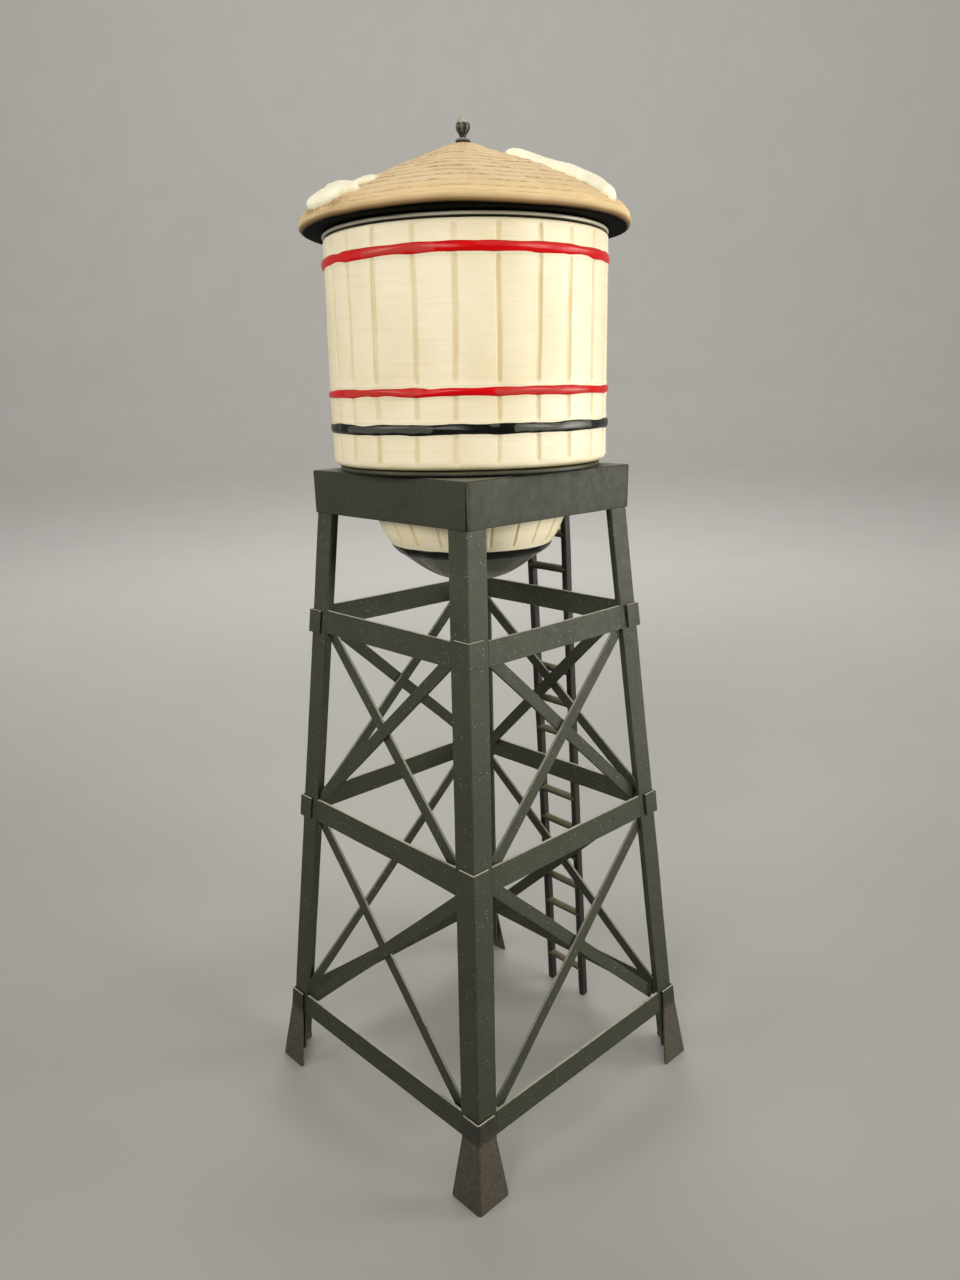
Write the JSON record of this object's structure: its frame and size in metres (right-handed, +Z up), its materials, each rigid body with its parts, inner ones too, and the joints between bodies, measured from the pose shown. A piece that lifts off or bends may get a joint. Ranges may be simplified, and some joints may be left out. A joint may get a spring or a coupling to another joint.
{
  "type": "model water tower",
  "caption": "Small ceramic water tower with a hooped round tank, shingled snowy roof and rounded underside on a cross-braced sheet-metal stand with a ladder.",
  "frame": {"origin": "centre of the four feet on the floor, under the tank's axis", "axes": "+Z up along the tank's axis, +X and -Y out of the two sides that the picture shows, the front corner between them, +Y out of the side with the ladder"},
  "size_m": [0.0938, 0.0947, 0.28],
  "materials": {
    "stand_metal": "semi-matte charcoal paint",
    "foot_metal": "matte brownish black paint",
    "ladder_metal": "matte charcoal paint, worn lighter on the rungs",
    "finial_metal": "satin pewter grey",
    "cream_glaze": "satin cream glaze with brushed stave lines",
    "red_glaze": "gloss",
    "black_glaze": "gloss",
    "roof_ceramic": "matte tan with moulded shingles",
    "snow": "rough matte white coat"
  },
  "bodies": {
    "root": {"back_foot": "foot_metal", "back_left_lower_falling_brace": "stand_metal", "back_left_lower_girt": "stand_metal", "back_left_lower_rising_brace": "stand_metal", "back_left_middle_girt": "stand_metal", "back_left_upper_falling_brace": "stand_metal", "back_left_upper_girt": "stand_metal", "back_left_upper_rising_brace": "stand_metal", "back_leg": "stand_metal", "back_middle_corner_plate": "stand_metal", "back_right_lower_falling_brace": "stand_metal", "back_right_lower_girt": "stand_metal", "back_right_lower_rising_brace": "stand_metal", "back_right_middle_girt": "stand_metal", "back_right_upper_falling_brace": "stand_metal", "back_right_upper_girt": "stand_metal", "back_right_upper_rising_brace": "stand_metal", "back_upper_corner_plate": "stand_metal", "black_hoop": "black_glaze", "bowl": "cream_glaze", "bowl_black_band": "black_glaze", "deck": "stand_metal", "finial": "finial_metal", "front_foot": "foot_metal", "front_left_lower_falling_brace": "stand_metal", "front_left_lower_girt": "stand_metal", "front_left_lower_rising_brace": "stand_metal", "front_left_middle_girt": "stand_metal", "front_left_upper_falling_brace": "stand_metal", "front_left_upper_girt": "stand_metal", "front_left_upper_rising_brace": "stand_metal", "front_leg": "stand_metal", "front_middle_corner_plate": "stand_metal", "front_right_lower_falling_brace": "stand_metal", "front_right_lower_girt": "stand_metal", "front_right_lower_rising_brace": "stand_metal", "front_right_middle_girt": "stand_metal", "front_right_upper_falling_brace": "stand_metal", "front_right_upper_girt": "stand_metal", "front_right_upper_rising_brace": "stand_metal", "front_upper_corner_plate": "stand_metal", "ladder": "ladder_metal", "left_foot": "foot_metal", "left_leg": "stand_metal", "left_middle_corner_plate": "stand_metal", "left_upper_corner_plate": "stand_metal", "lower_red_hoop": "red_glaze", "right_foot": "foot_metal", "right_leg": "stand_metal", "right_middle_corner_plate": "stand_metal", "right_upper_corner_plate": "stand_metal", "roof": "roof_ceramic", "roof_ring": "black_glaze", "snow_patch_left": "snow", "snow_patch_right": "snow", "tank_floor": "black_glaze", "tank_wall": "cream_glaze", "upper_red_hoop": "red_glaze"}
  },
  "joints": []
}
